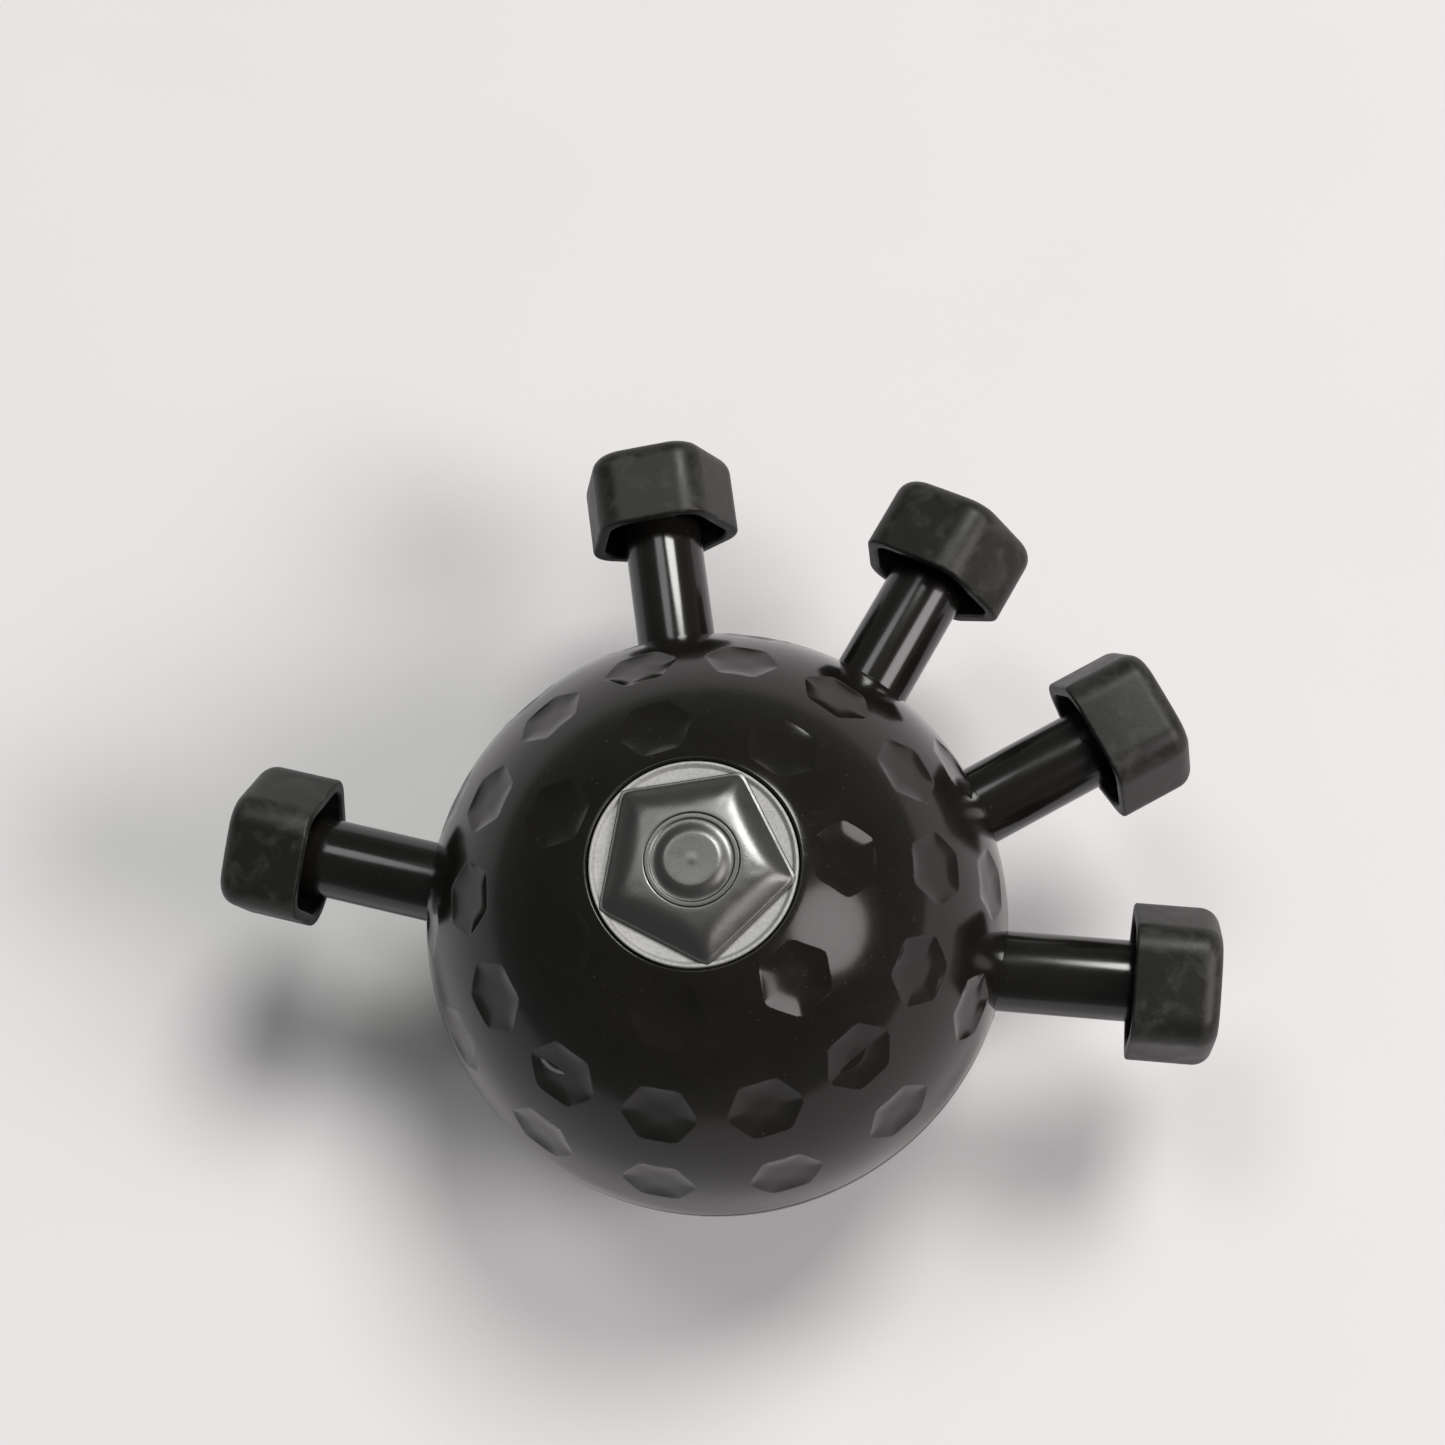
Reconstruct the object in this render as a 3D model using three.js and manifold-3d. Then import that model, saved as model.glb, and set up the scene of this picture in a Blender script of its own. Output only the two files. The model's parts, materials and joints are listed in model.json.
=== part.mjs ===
// Finger exerciser: a palm-sized ball with five spring-loaded finger plungers.
//
// Millimetres, +Z up. The ball stands on the flat pad at its rear pole, and the origin is the centre of
// that pad's face. The decorated front hub looks up, and the five plungers lie in the horizontal plane
// where the two half shells meet. They fan out from one point a little behind the ball's centre, with
// the little finger towards +X, the thumb towards -X and the index and middle fingers towards +Y.
import * as THREE from "three";
import { mergeVertices } from "three/addons/utils/BufferGeometryUtils.js";
import Module from "manifold-3d";

const wasm = await Module();
wasm.setup();

// ---------------------------------------------------------------- driving dimensions
const CLEARANCE = 0.3; // between neighbouring pieces

// Ball and its two half shells
const BALL_R = 32.5;
const WALL = 3;
const INNER_R = BALL_R - WALL;
const HUB_R = 10.9; // the round flat that cuts each pole
const POLE_FLAT = Math.sqrt(BALL_R ** 2 - HUB_R ** 2); // its height above the ball's centre
const PAD_PROUD = 0.5; // how far the rear pad stands out of its recess
const BALL_Z = POLE_FLAT + PAD_PROUD; // height of the ball's centre
const RECESS_DEPTH = 1.7;
const RECESS_FLOOR = POLE_FLAT - RECESS_DEPTH;
const HUB_BACKING = 3; // thickness of the plate behind each recess
const HUB_BACKING_R = 12.6;

// Hexagonal dimples in each half shell, in rings about its pole, each with one side towards the pole
const DIMPLE_RINGS = [
  { polar: 28.5, count: 7 },
  { polar: 49.5, count: 14 },
  { polar: 70, count: 14 },
];
const FIRST_DIMPLE = 2.8; // azimuth of the first one in each ring
const DIMPLE_LIP = 3.5; // from its centre to a side at the ball's surface
const DIMPLE_FLOOR = 2.35; // the same at its floor
const DIMPLE_DEPTH = 0.54;

// Plungers
const FINGERS = [
  { name: "thumb", azimuth: 166, capTurn: 13 },
  { name: "index", azimuth: 97.5, capTurn: 31 },
  { name: "middle", azimuth: 60, capTurn: 17 },
  { name: "ring", azimuth: 28, capTurn: 40 },
  { name: "little", azimuth: -5.5, capTurn: 47 },
];
const FAN_OFFSET = 2.9; // the plungers' axes meet this far behind the ball's centre
const STEM_EXPOSED = 13.8; // from the ball's surface to the cap's rim, on the axis
const TRAVEL = 10; // how far a finger presses its plunger in

// Stem: a tube, closed at its outer end
const STEM_R = 4.5;
const STEM_BORE_R = 3.7;
const STEM_INNER_END = -19.3; // these lengths count outwards from the cap's rim
const STEM_OUTER_END = 6.9;
const STEM_END_WALL = 1.2;
const STEM_LEAD_IN = 0.4;

// Cap: a rounded pentagon with a hollow underside
const CAP_R = 8.95;
const CAP_CORNER_R = 3.4;
const CAP_HEIGHT = 9.4;
const CAP_WALL = 1.5;
const CAP_ROOF = 4.6; // underside of the roof above the rim
const CAP_EDGE_R = 2.2;
const CAP_SEAT_R = 6.3;
const CAP_SEAT_DEPTH = 1.2;

// Guides moulded inside the shells, one around each stem
const GUIDE_R = 6.2;
const GUIDE_BORE_R = STEM_R + CLEARANCE;
const GUIDE_INNER_END = -22;

// Headed guide pin, spring and retaining ring of each plunger
const PIN_R = 1.9;
const PIN_THREAD_R = 1.4;
const PIN_THREAD_LENGTH = 5;
const PIN_HEAD_R = 3.35;
const PIN_HEAD_HEIGHT = 1.6;
const RING_THICKNESS = 1.4;
const RING_BORE_R = 2.25;
const SPRING_MEAN_R = 3.05;
const SPRING_WIRE_R = 0.3;
const SPRING_TURNS = 7;

// Core that carries the guide pins
const CORE_R = 12.3;
const CORE_HEIGHT = 11;
const PIN_BOSS_R = 3.6;
const PIN_BOSS_END = STEM_INNER_END - TRAVEL - 0.7; // clear of a stem that is pressed home
const PIN_BOSS_START_R = 6;

// Central fastening on the ball's axis
const POST_R = 4.5;
const POST_END = CORE_HEIGHT / 2 + CLEARANCE;
const SCREW_R = 1.5;
const SCREW_HOLE_R = SCREW_R + CLEARANCE;
const SCREW_HEAD_R = 2.9;
const SCREW_HEAD_HEIGHT = 2;
const SCREW_KEY_R = 1.3;
const SCREW_KEY_DEPTH = 1.2;
const HEAD_POCKET_R = 3.3;
const HEAD_POCKET_DEPTH = 2.4;
const INSERT_R = 2.8;
const INSERT_LENGTH = 6;

// Locating pegs on the palm side
const PEG_X = 14;
const PEG_Y = -17;
const PEG_R = 1.5;
const PEG_LENGTH = 4;
const PEG_COLUMN_R = 3;

// Front hub and rear pad
const DISC_R = 10.6;
const DISC_THICKNESS = 0.9;
const PLUG_R = 4.6;
const PLUG_HOLE_R = PLUG_R + CLEARANCE;
const PLUG_TOP = BALL_R - 0.1;
const PLUG_DISH_R = 2.75;
const PLUG_DISH_DEPTH = 0.5;
const PLUG_EDGE = 0.4;
const PENTAGON_R = 10.55;
const PENTAGON_EDGE_HEIGHT = 0.5;
const PENTAGON_CREST_R = 5.6;
const PENTAGON_CREST = BALL_R - 0.35;
const PENTAGON_TURN = 60; // azimuth of one of its corners
const PAD_R = 10.5;
const PAD_EDGE = 0.5;

// Facets
const BALL_SEGMENTS = 40;
const ROUND_SEGMENTS = 20;
const SMALL_SEGMENTS = 12;
const CAP_SEGMENTS = 25;
const SPRING_STEPS_PER_TURN = 8;
const MERIDIAN_STEPS = 9;
const FIRST_FACET = -90; // azimuth of the first corner of a shape turned about Z

const radians = THREE.MathUtils.degToRad;

// ---------------------------------------------------------------- solids
/** Closed three.js geometry to a manifold solid. */
function solid(geometry) {
  geometry.deleteAttribute("normal");
  geometry.deleteAttribute("uv");
  const merged = mergeVertices(geometry, 1e-4);
  const corners = merged.index.array;
  const triVerts = [];
  for (let i = 0; i < corners.length; i += 3) {
    const [a, b, c] = [corners[i], corners[i + 1], corners[i + 2]];
    if (a !== b && b !== c && c !== a) triVerts.push(a, b, c);
  }
  const mesh = new wasm.Mesh({
    numProp: 3,
    vertProperties: merged.getAttribute("position").array,
    triVerts: Uint32Array.from(triVerts),
  });
  return new wasm.Manifold(mesh);
}

/** Manifold solid back to a three.js geometry. */
function geometryOf(shape) {
  const { vertProperties, triVerts } = shape.getMesh();
  const geometry = new THREE.BufferGeometry();
  geometry.setAttribute("position", new THREE.BufferAttribute(vertProperties, 3));
  geometry.setIndex(new THREE.BufferAttribute(triVerts, 1));
  geometry.computeVertexNormals();
  return geometry;
}

/** Profile of [radius, height] points turned about Z, anticlockwise round the material. */
function turnedGeometry(profile, segments) {
  const points = profile.map(([radius, height]) => new THREE.Vector2(radius, height));
  return new THREE.LatheGeometry(points, segments).rotateX(Math.PI / 2);
}

const turned = (profile, segments = ROUND_SEGMENTS) => solid(turnedGeometry(profile, segments));

/** The same about X, with [radius, distance along X] points. */
function turnedAlongX(profile, segments = ROUND_SEGMENTS) {
  return solid(turnedGeometry(profile, segments).rotateY(Math.PI / 2));
}

/** Full cylinder about X from one distance to another. */
function rodAlongX(radius, from, to, segments = ROUND_SEGMENTS) {
  return turnedAlongX([[0, from], [radius, from], [radius, to], [0, to]], segments);
}

const rodAlongZ = (radius, from, to, segments) =>
  turned([[0, from], [radius, from], [radius, to], [0, to]], segments);

/** Points of a meridian arc of a sphere between two heights, both ends included. */
function meridian(radius, fromHeight, toHeight, steps) {
  const start = Math.asin(fromHeight / radius);
  const end = Math.asin(toHeight / radius);
  return Array.from({ length: steps + 1 }, (_, i) => {
    const angle = start + ((end - start) * i) / steps;
    return [radius * Math.cos(angle), radius * Math.sin(angle)];
  });
}

/** Points of a quarter-round edge about a centre, from one angle to another in degrees. */
function edgeArc(centre, radius, fromAngle, toAngle, steps) {
  return Array.from({ length: steps + 1 }, (_, i) => {
    const angle = radians(fromAngle + ((toAngle - fromAngle) * i) / steps);
    return [centre[0] + radius * Math.cos(angle), centre[1] + radius * Math.sin(angle)];
  });
}

// ---------------------------------------------------------------- layout of the plungers
/** Distance along a plunger's axis from the fan's centre to the ball's surface. */
function exitDistance(azimuth) {
  const angle = radians(azimuth);
  return FAN_OFFSET * Math.sin(angle) + Math.sqrt(BALL_R ** 2 - (FAN_OFFSET * Math.cos(angle)) ** 2);
}

const rimDistance = (azimuth) => exitDistance(azimuth) + STEM_EXPOSED;

/** A tool made along X from the cap's rim, moved to one finger's axis in the ball's frame. */
function atFinger(tool, azimuth) {
  return tool
    .translate([rimDistance(azimuth), 0, 0])
    .rotate([0, 0, azimuth])
    .translate([0, -FAN_OFFSET, 0]);
}

// ---------------------------------------------------------------- half shells
/** Upper half space above a height, as a block. */
function blockAbove(height) {
  const size = 3 * BALL_R;
  return solid(new THREE.BoxGeometry(size, size, size)).translate([0, 0, height + size / 2]);
}

/** Profile of a half shell with its pole recess and the post that clamps the core. */
function shellProfile(poleBore) {
  const parting = CLEARANCE / 2;
  const backing = RECESS_FLOOR - HUB_BACKING;
  const innerPole = Math.sqrt(INNER_R ** 2 - HUB_BACKING_R ** 2);
  return [
    ...meridian(BALL_R, parting, POLE_FLAT, MERIDIAN_STEPS),
    [HUB_R, RECESS_FLOOR],
    ...poleBore,
    [POST_R, POST_END],
    [POST_R, backing],
    [HUB_BACKING_R, backing],
    ...meridian(INNER_R, innerPole, parting, MERIDIAN_STEPS - 3),
    [Math.sqrt(BALL_R ** 2 - parting ** 2), parting],
  ];
}

/** What one dimple removes from a shell whose pole is up. */
function dimple(polar, azimuth) {
  const toCorner = 1 / Math.cos(Math.PI / 6);
  const lipHeight = Math.sqrt(BALL_R ** 2 - DIMPLE_LIP ** 2);
  const floorHeight = lipHeight - DIMPLE_DEPTH;
  const outside = BALL_R + CLEARANCE;
  const mouth = DIMPLE_LIP + ((DIMPLE_LIP - DIMPLE_FLOOR) * (outside - lipHeight)) / DIMPLE_DEPTH;
  return turned([[0, floorHeight], [DIMPLE_FLOOR * toCorner, floorHeight], [mouth * toCorner, outside],
    [0, outside]], 6).rotate([0, polar, azimuth]);
}

/** A half shell, front pole up, with its dimples and its half of every stem guide. */
function halfShell(poleBore) {
  let shell = turned(shellProfile(poleBore), BALL_SEGMENTS);
  const insideBall = solid(new THREE.SphereGeometry(BALL_R - WALL / 2, BALL_SEGMENTS, ROUND_SEGMENTS));
  const half = insideBall.intersect(blockAbove(CLEARANCE / 2));
  for (const { azimuth } of FINGERS) {
    const sleeve = atFinger(rodAlongX(GUIDE_R, GUIDE_INNER_END, -STEM_EXPOSED), azimuth);
    shell = shell.add(sleeve.intersect(half));
  }
  for (const side of [-1, 1]) {
    const column = rodAlongZ(PEG_COLUMN_R, 0, BALL_R, SMALL_SEGMENTS).translate([side * PEG_X, PEG_Y, 0]);
    shell = shell.add(column.intersect(half));
  }
  for (const { azimuth } of FINGERS) {
    shell = shell.subtract(atFinger(rodAlongX(GUIDE_BORE_R, GUIDE_INNER_END - 1, 0), azimuth));
  }
  for (const { polar, count } of DIMPLE_RINGS) {
    for (let i = 0; i < count; i += 1) {
      shell = shell.subtract(dimple(polar, FIRST_DIMPLE + (360 * i) / count));
    }
  }
  return shell;
}

function frontShell() {
  const seat = RECESS_FLOOR - HEAD_POCKET_DEPTH;
  const poleBore = [
    [HEAD_POCKET_R, RECESS_FLOOR],
    [HEAD_POCKET_R, seat],
    [SCREW_HOLE_R, seat],
    [SCREW_HOLE_R, POST_END],
  ];
  let shell = halfShell(poleBore);
  for (const side of [-1, 1]) {
    const peg = rodAlongZ(PEG_R, -PEG_LENGTH, 1, SMALL_SEGMENTS);
    shell = shell.add(peg.translate([side * PEG_X, PEG_Y, 0]));
  }
  return shell;
}

function rearShell() {
  const insertEnd = POST_END + INSERT_LENGTH + 2 * CLEARANCE;
  const insertBore = INSERT_R + CLEARANCE;
  const poleBore = [
    [0, RECESS_FLOOR],
    [0, insertEnd + 2],
    [SCREW_HOLE_R, insertEnd + 2],
    [SCREW_HOLE_R, insertEnd],
    [insertBore, insertEnd],
    [insertBore, POST_END],
  ];
  let shell = halfShell(poleBore);
  for (const side of [-1, 1]) {
    const socket = rodAlongZ(PEG_R + CLEARANCE, -1, PEG_LENGTH + CLEARANCE, SMALL_SEGMENTS);
    shell = shell.subtract(socket.translate([side * PEG_X, PEG_Y, 0]));
  }
  return shell.mirror([0, 0, 1]);
}

// ---------------------------------------------------------------- hub, pad and central fastening
function hubDisc() {
  const bottom = RECESS_FLOOR + CLEARANCE;
  const top = bottom + DISC_THICKNESS;
  return turned([[PLUG_HOLE_R, bottom], [DISC_R, bottom], [DISC_R, top], [PLUG_HOLE_R, top],
    [PLUG_HOLE_R, bottom]], 2 * ROUND_SEGMENTS);
}

/** Five-sided pillow: a low upright edge, then flanks with a crease at each corner. */
function pentagonCap() {
  const bottom = RECESS_FLOOR + DISC_THICKNESS + 2 * CLEARANCE;
  const outline = [
    [0, bottom],
    [PENTAGON_R, bottom],
    [PENTAGON_R, bottom + PENTAGON_EDGE_HEIGHT],
    [PENTAGON_CREST_R, PENTAGON_CREST],
    [0, PENTAGON_CREST],
  ];
  const hole = rodAlongZ(PLUG_HOLE_R, bottom - 1, BALL_R + 1);
  return turned(outline, 5).rotate([0, 0, PENTAGON_TURN - FIRST_FACET]).subtract(hole);
}

function centrePlug() {
  return turned([
    [0, RECESS_FLOOR + CLEARANCE],
    [PLUG_R, RECESS_FLOOR + CLEARANCE],
    [PLUG_R, PLUG_TOP - PLUG_EDGE],
    [PLUG_R - PLUG_EDGE, PLUG_TOP],
    [PLUG_DISH_R, PLUG_TOP],
    [PLUG_DISH_R - PLUG_DISH_DEPTH, PLUG_TOP - PLUG_DISH_DEPTH],
    [0, PLUG_TOP - PLUG_DISH_DEPTH],
  ]);
}

function rearPad() {
  const face = -BALL_Z;
  const back = -RECESS_FLOOR - CLEARANCE;
  return turned([[0, face], [PAD_R - PAD_EDGE, face], [PAD_R, face + PAD_EDGE], [PAD_R, back], [0, back]],
    2 * ROUND_SEGMENTS);
}

function centralScrew() {
  const under = RECESS_FLOOR - HEAD_POCKET_DEPTH + CLEARANCE;
  const top = under + SCREW_HEAD_HEIGHT;
  const end = -(POST_END + INSERT_LENGTH);
  const body = turned([[0, end], [SCREW_R, end], [SCREW_R, under], [SCREW_HEAD_R, under],
    [SCREW_HEAD_R, top - SCREW_KEY_DEPTH], [SCREW_HEAD_R - 0.6, top], [0, top]], SMALL_SEGMENTS);
  return body.subtract(rodAlongZ(SCREW_KEY_R, top - SCREW_KEY_DEPTH, top + 1, 6));
}

function threadedInsert() {
  const top = -(POST_END + CLEARANCE);
  const bottom = top - INSERT_LENGTH;
  return turned([[SCREW_HOLE_R, bottom], [INSERT_R, bottom], [INSERT_R, top], [SCREW_HOLE_R, top],
    [SCREW_HOLE_R, bottom]], SMALL_SEGMENTS);
}

// ---------------------------------------------------------------- core
function springCore() {
  const half = CORE_HEIGHT / 2;
  let core = rodAlongZ(CORE_R, -half, half, 2 * ROUND_SEGMENTS).translate([0, -FAN_OFFSET, 0]);
  for (const { azimuth } of FINGERS) {
    const boss = rodAlongX(PIN_BOSS_R, PIN_BOSS_START_R - rimDistance(azimuth), PIN_BOSS_END);
    core = core.add(atFinger(boss, azimuth));
  }
  const threadEnd = PIN_BOSS_END - PIN_THREAD_LENGTH - CLEARANCE;
  for (const { azimuth } of FINGERS) {
    const hole = rodAlongX(PIN_THREAD_R + CLEARANCE, threadEnd, PIN_BOSS_END + 1, SMALL_SEGMENTS);
    core = core.subtract(atFinger(hole, azimuth));
  }
  return core.subtract(rodAlongZ(SCREW_HOLE_R, -half - 1, half + 1, SMALL_SEGMENTS));
}

// ---------------------------------------------------------------- one plunger, along X from the cap's rim
/** Polar radius of a pentagon with rounded corners, for an angle from one of its corners. */
function roundedPentagon(angle, circumradius, cornerRadius) {
  const side = (2 * Math.PI) / 5;
  const fromCorner = Math.abs(angle - side * Math.round(angle / side));
  const centre = circumradius - cornerRadius;
  const arcEnd = Math.atan2(
    cornerRadius * Math.sin(side / 2),
    centre + cornerRadius * Math.cos(side / 2),
  );
  if (fromCorner > arcEnd) {
    return (centre * Math.cos(side / 2) + cornerRadius) / Math.cos(side / 2 - fromCorner);
  }
  const across = centre * Math.sin(fromCorner);
  return centre * Math.cos(fromCorner) + Math.sqrt(cornerRadius ** 2 - across ** 2);
}

/**
 * Cap: turned as a round one, then drawn in to the rounded pentagon, less and less towards its axis.
 * One corner points to +Z once the cap lies along X.
 */
function fingerCap() {
  const socketR = STEM_R + CLEARANCE;
  const socketEnd = STEM_OUTER_END + CLEARANCE;
  const cavityR = CAP_R - CAP_WALL;
  const edge = edgeArc([CAP_R - CAP_EDGE_R, CAP_HEIGHT - CAP_EDGE_R], CAP_EDGE_R, 0, 90, 3);
  const profile = [
    [0, socketEnd],
    [socketR, socketEnd],
    [socketR, CAP_ROOF],
    [cavityR, CAP_ROOF],
    [cavityR, 0],
    [CAP_R, 0],
    ...edge,
    [CAP_SEAT_R, CAP_HEIGHT],
    [CAP_SEAT_R * 0.75, CAP_HEIGHT - CAP_SEAT_DEPTH * 0.6],
    [0, CAP_HEIGHT - CAP_SEAT_DEPTH],
  ];
  const geometry = turnedGeometry(profile, CAP_SEGMENTS);
  const position = geometry.getAttribute("position");
  for (let i = 0; i < position.count; i += 1) {
    const [x, y] = [position.getX(i), position.getY(i)];
    const radius = Math.hypot(x, y);
    const share = THREE.MathUtils.clamp((radius - socketR) / (cavityR - socketR), 0, 1);
    const outline = roundedPentagon(Math.atan2(y, -x), CAP_R, CAP_CORNER_R) / CAP_R;
    const factor = 1 + share * (outline - 1);
    position.setXY(i, x * factor, y * factor);
  }
  return solid(geometry.rotateY(Math.PI / 2));
}

function hollowStem() {
  const boreEnd = STEM_OUTER_END - STEM_END_WALL;
  return turnedAlongX([
    [0, boreEnd],
    [STEM_BORE_R, boreEnd],
    [STEM_BORE_R, STEM_INNER_END],
    [STEM_R - STEM_LEAD_IN, STEM_INNER_END],
    [STEM_R, STEM_INNER_END + STEM_LEAD_IN],
    [STEM_R, STEM_OUTER_END],
    [0, STEM_OUTER_END],
  ]);
}

function retainingRing() {
  const outer = STEM_BORE_R - CLEARANCE;
  const end = STEM_INNER_END + RING_THICKNESS;
  return turnedAlongX([[RING_BORE_R, STEM_INNER_END], [outer, STEM_INNER_END], [outer, end],
    [RING_BORE_R, end], [RING_BORE_R, STEM_INNER_END]], SMALL_SEGMENTS);
}

const PIN_HEAD_START = STEM_INNER_END + RING_THICKNESS + CLEARANCE;
const PIN_HEAD_END = PIN_HEAD_START + PIN_HEAD_HEIGHT;

function guidePin() {
  const shoulder = PIN_BOSS_END + CLEARANCE;
  const threadEnd = PIN_BOSS_END - PIN_THREAD_LENGTH;
  return turnedAlongX([
    [0, threadEnd],
    [PIN_THREAD_R, threadEnd],
    [PIN_THREAD_R, shoulder],
    [PIN_R, shoulder],
    [PIN_R, PIN_HEAD_START],
    [PIN_HEAD_R, PIN_HEAD_START],
    [PIN_HEAD_R, PIN_HEAD_END],
    [0, PIN_HEAD_END],
  ], SMALL_SEGMENTS);
}

/** Compression spring between the pin's head and the stem's closed end. */
class Helix extends THREE.Curve {
  constructor(radius, from, to, turns) {
    super();
    Object.assign(this, { radius, from, to, turns });
  }

  getPoint(t) {
    const angle = 2 * Math.PI * this.turns * t;
    const along = this.from + (this.to - this.from) * t;
    return new THREE.Vector3(along, this.radius * Math.cos(angle), this.radius * Math.sin(angle));
  }
}

function coilSpring() {
  const margin = CLEARANCE + SPRING_WIRE_R;
  const outerEnd = STEM_OUTER_END - STEM_END_WALL;
  const path = new Helix(SPRING_MEAN_R, PIN_HEAD_END + margin, outerEnd - margin, SPRING_TURNS);
  const wire = new THREE.Shape().absarc(0, 0, SPRING_WIRE_R, 0, 2 * Math.PI);
  const steps = SPRING_TURNS * SPRING_STEPS_PER_TURN;
  return solid(new THREE.ExtrudeGeometry(wire, { extrudePath: path, steps, curveSegments: 2 }));
}

// ---------------------------------------------------------------- materials
const MATERIALS = {
  glossBlack: { color: 0x0e0f0e, roughness: 0.12, metalness: 0 },
  satinBlack: { color: 0x2a2b29, roughness: 0.5, metalness: 0 },
  hubGrey: { color: 0xa9aba8, roughness: 0.7, metalness: 0 },
  satinGrey: { color: 0x6d6e6c, roughness: 0.35, metalness: 0 },
  padGrey: { color: 0x8d8f8c, roughness: 0.8, metalness: 0 },
  nylon: { color: 0xd8d5c8, roughness: 0.6, metalness: 0 },
  steel: { color: 0xb9bcc0, roughness: 0.3, metalness: 1 },
  brass: { color: 0xb5893c, roughness: 0.35, metalness: 1 },
};

function piece(name, geometry, finish) {
  const mesh = new THREE.Mesh(geometry, new THREE.MeshStandardMaterial(MATERIALS[finish]));
  mesh.name = name;
  return mesh;
}

// ---------------------------------------------------------------- assembly
const exerciser = new THREE.Group();

const ball = new THREE.Group();
ball.position.z = BALL_Z;
ball.add(
  piece("front_shell", geometryOf(frontShell()), "glossBlack"),
  piece("rear_shell", geometryOf(rearShell()), "glossBlack"),
  piece("hub_disc", geometryOf(hubDisc()), "hubGrey"),
  piece("pentagon_cap", geometryOf(pentagonCap()), "satinGrey"),
  piece("centre_plug", geometryOf(centrePlug()), "satinGrey"),
  piece("rear_pad", geometryOf(rearPad()), "padGrey"),
  piece("central_screw", geometryOf(centralScrew()), "steel"),
  piece("threaded_insert", geometryOf(threadedInsert()), "brass"),
  piece("spring_core", geometryOf(springCore()), "nylon"),
);
exerciser.add(ball);

const PLUNGER_PIECES = [
  { suffix: "stem", geometry: geometryOf(hollowStem()), finish: "glossBlack" },
  { suffix: "spring", geometry: geometryOf(coilSpring()), finish: "steel" },
  { suffix: "retaining_ring", geometry: geometryOf(retainingRing()), finish: "steel" },
  { suffix: "guide_pin", geometry: geometryOf(guidePin()), finish: "steel" },
];
const capGeometry = geometryOf(fingerCap());

for (const { name, azimuth, capTurn } of FINGERS) {
  const fan = new THREE.Group();
  fan.position.set(0, -FAN_OFFSET, BALL_Z);
  fan.rotation.z = radians(azimuth);
  const plunger = new THREE.Group();
  plunger.position.x = rimDistance(azimuth);
  for (const { suffix, geometry, finish } of PLUNGER_PIECES) {
    plunger.add(piece(`${name}_${suffix}`, geometry, finish));
  }
  const cap = piece(`${name}_cap`, capGeometry, "satinBlack");
  cap.rotation.x = radians(capTurn);
  plunger.add(cap);
  fan.add(plunger);
  exerciser.add(fan);
}

export default exerciser;
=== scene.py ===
"""Finger exerciser: a glossy black ball with five spring-loaded finger plungers.

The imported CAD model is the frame. Every visible piece is rebuilt here with its fine shape (dimples, rounded
edges, the pillow on the hub) and rides on the CAD body that it belongs to. Lengths are written in millimetres
and become metres when a mesh is made. The ball's own shapes are measured from the ball's centre.
"""
import json
import math

import bpy
import numpy as np
from mathutils import Matrix, Vector
from mathutils.geometry import delaunay_2d_cdt


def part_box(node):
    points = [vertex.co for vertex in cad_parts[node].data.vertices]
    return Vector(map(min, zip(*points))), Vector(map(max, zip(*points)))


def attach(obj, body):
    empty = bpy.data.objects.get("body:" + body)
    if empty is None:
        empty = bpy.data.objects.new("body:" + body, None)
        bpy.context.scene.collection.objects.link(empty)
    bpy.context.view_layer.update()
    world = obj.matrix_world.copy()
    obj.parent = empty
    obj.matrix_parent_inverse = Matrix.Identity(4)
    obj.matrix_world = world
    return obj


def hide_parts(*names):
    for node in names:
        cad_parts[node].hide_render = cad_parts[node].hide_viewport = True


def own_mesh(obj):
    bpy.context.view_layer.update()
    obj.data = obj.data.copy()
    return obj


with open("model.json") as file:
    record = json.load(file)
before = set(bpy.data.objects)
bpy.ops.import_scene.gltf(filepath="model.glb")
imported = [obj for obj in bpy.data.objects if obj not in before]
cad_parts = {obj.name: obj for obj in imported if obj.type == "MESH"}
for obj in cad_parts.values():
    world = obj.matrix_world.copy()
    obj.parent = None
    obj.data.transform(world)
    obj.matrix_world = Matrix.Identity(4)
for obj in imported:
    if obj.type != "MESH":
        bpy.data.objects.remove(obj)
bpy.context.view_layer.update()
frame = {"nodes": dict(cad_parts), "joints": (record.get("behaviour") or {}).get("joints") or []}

MM = 0.001
UP = Vector((0, 0, 1))

# ---------------------------------------------------------------- dimensions shared with the CAD part
BALL_R = 32.5
INNER_R = 29.5
HUB_R = 10.9
POLE_FLAT = math.sqrt(BALL_R**2 - HUB_R**2)
RECESS_FLOOR = POLE_FLAT - 1.7
HUB_BACKING = 3
HUB_BACKING_R = 12.6
PARTING = 0.15  # half of the gap between the half shells
FAN_OFFSET = 2.9
STEM_R = 4.5
STEM_BORE_R = 3.7
STEM_LENGTH = 26.2
GUIDE_R = 6.2
GUIDE_BORE_R = 4.8
POST_R = 4.5
POST_END = 5.8
SCREW_HOLE_R = 1.8
HEAD_POCKET_R = 3.3
HEAD_POCKET_DEPTH = 2.4
PEG_X = 14
PEG_Y = -17
PEG_LENGTH = 4
CAP_R = 8.95
CAP_CORNER_R = 3.4
CAP_HEIGHT = 9.4
CAP_WALL = 1.5
CAP_ROOF = 4.6
CAP_TURN = {"thumb": 13, "index": 31, "middle": 17, "ring": 40, "little": 47}
SPRING_MEAN_R = 3.05
SPRING_WIRE_R = 0.3
SCREW_R = 1.5
SCREW_HEAD_R = 2.9
SCREW_HEAD_HEIGHT = 2
INSERT_R = 2.8
INSERT_LENGTH = 6
PIN_R = 1.9
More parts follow.
